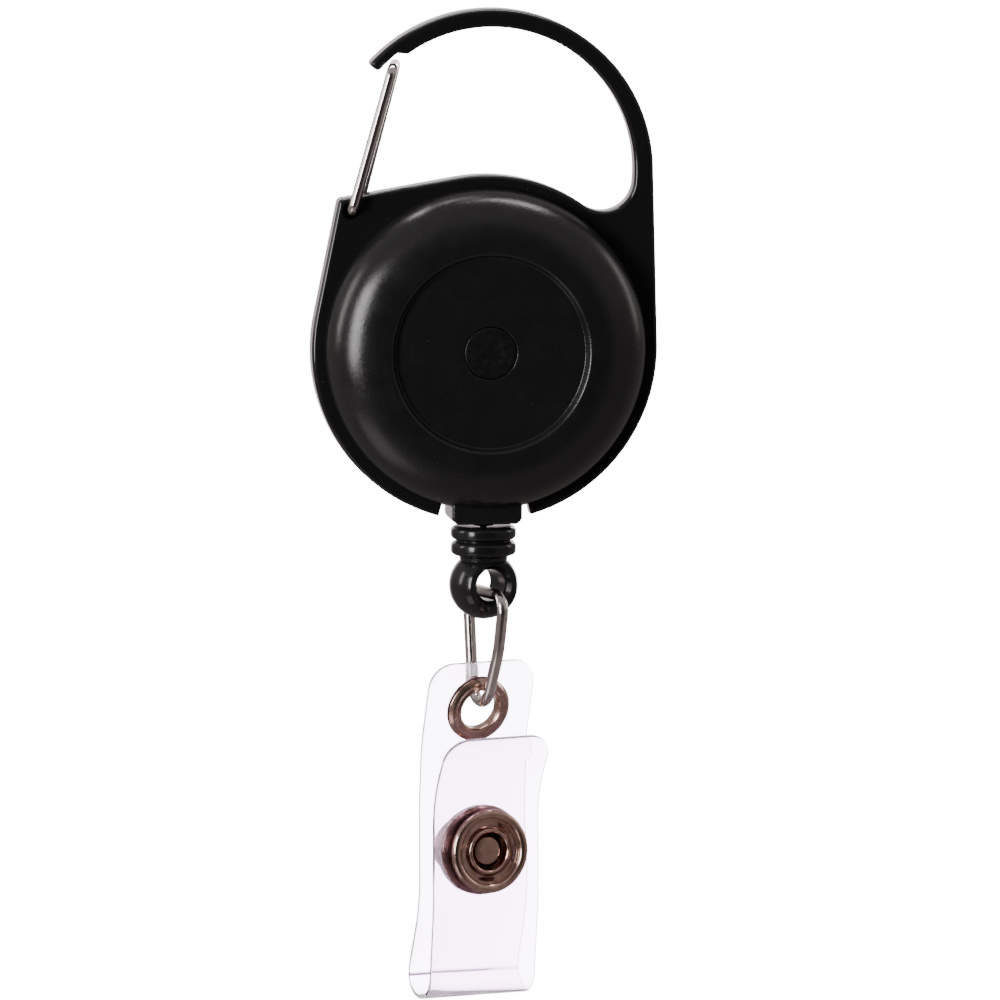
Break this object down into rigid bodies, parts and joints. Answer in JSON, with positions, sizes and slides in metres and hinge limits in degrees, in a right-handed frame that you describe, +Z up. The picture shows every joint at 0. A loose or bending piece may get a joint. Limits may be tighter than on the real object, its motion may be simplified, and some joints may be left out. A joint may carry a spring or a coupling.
{
  "type": "retractable badge reel",
  "caption": "Round retractable cord reel held in a flat carabiner frame with a wire gate, ending in a ribbed cord end, a wire link and a clear snap-closed badge strap.",
  "frame": {"origin": "the hang point: the crown of the hook's inner edge, in the middle of the frame's thickness", "axes": "+Z up along the object's length, -Y out of the front cover, +X to the right as seen from the front, with the gate on the left"},
  "size_m": [0.0345, 0.0127, 0.0987],
  "materials": {
    "gloss_black": "moulded black plastic with a gloss surface",
    "satin_black": "moulded black plastic with a fine satin grain",
    "steel_wire": "bright plated steel wire",
    "nickel": "bright nickel-plated pressings",
    "spring_steel": "bare spring steel",
    "white_plastic": "natural white moulded plastic",
    "black_cord": "thin braided nylon cord",
    "clear_vinyl": "clear flexible vinyl sheet"
  },
  "bodies": {
    "root": {"carabiner_frame": "gloss_black", "front_cover": "satin_black", "back_cover": "satin_black", "centre_post": "gloss_black", "power_spring": "spring_steel", "cord_feed": "black_cord"},
    "gate": {"gate_wire": "steel_wire"},
    "spool": {"spool": "white_plastic", "spring_cover": "white_plastic", "cord_winding": "black_cord"},
    "cord_end": {"cord_knot": "black_cord", "cord_lead": "black_cord"},
    "fitting": {"end_fitting": "gloss_black"},
    "link": {"wire_link": "steel_wire"},
    "strap": {"strap_back": "clear_vinyl", "eyelet_barrel": "nickel", "eyelet_washer": "nickel", "snap_post": "nickel", "snap_stud": "nickel"},
    "flap": {"strap_flap": "clear_vinyl", "snap_socket": "nickel", "snap_spring": "spring_steel", "snap_cap": "nickel"}
  },
  "joints": [
    {"name": "gate_pivot", "type": "hinge", "parent": "root", "child": "gate", "pos_m": [-0.0139, 0, -0.018], "axis": [0, 1, 0], "range_deg": [0, 45], "stiffness_Nm_per_rad": 0.01, "springref_deg": -20.05},
    {"name": "cord_pull", "type": "slide", "parent": "root", "child": "cord_end", "axis": [0, 0, -1], "range_m": [0, 0.6], "stiffness_N_per_m": 1, "springref_m": -0.6, "deforming": ["cord_lead"]},
    {"name": "spool_spin", "type": "hinge", "parent": "root", "child": "spool", "pos_m": [-0.00055, 0, -0.03195], "axis": [0, 1, 0], "range_deg": [0, 3200]},
    {"name": "fitting_twist", "type": "hinge", "parent": "cord_end", "child": "fitting", "pos_m": [-0.00055, 0, -0.0522], "axis": [0, 0, 1], "continuous": true},
    {"name": "link_swing", "type": "hinge", "parent": "fitting", "child": "link", "pos_m": [-0.00055, 0, -0.0563], "axis": [0.342, -0.9397, 0], "range_deg": [-75, 75]},
    {"name": "strap_swing", "type": "hinge", "parent": "link", "child": "strap", "pos_m": [-0.00055, 0, -0.06725], "axis": [0.342, -0.9397, 0], "range_deg": [-60, 60]},
    {"name": "flap_open", "type": "hinge", "parent": "strap", "child": "flap", "pos_m": [-0.00175, 0.0033, -0.09655], "axis": [0.9397, 0.342, 0], "range_deg": [0, 120]}
  ],
  "couplings": [
    {"joint": "spool_spin", "follows": "cord_pull", "rad_per_m": 91.743}
  ]
}
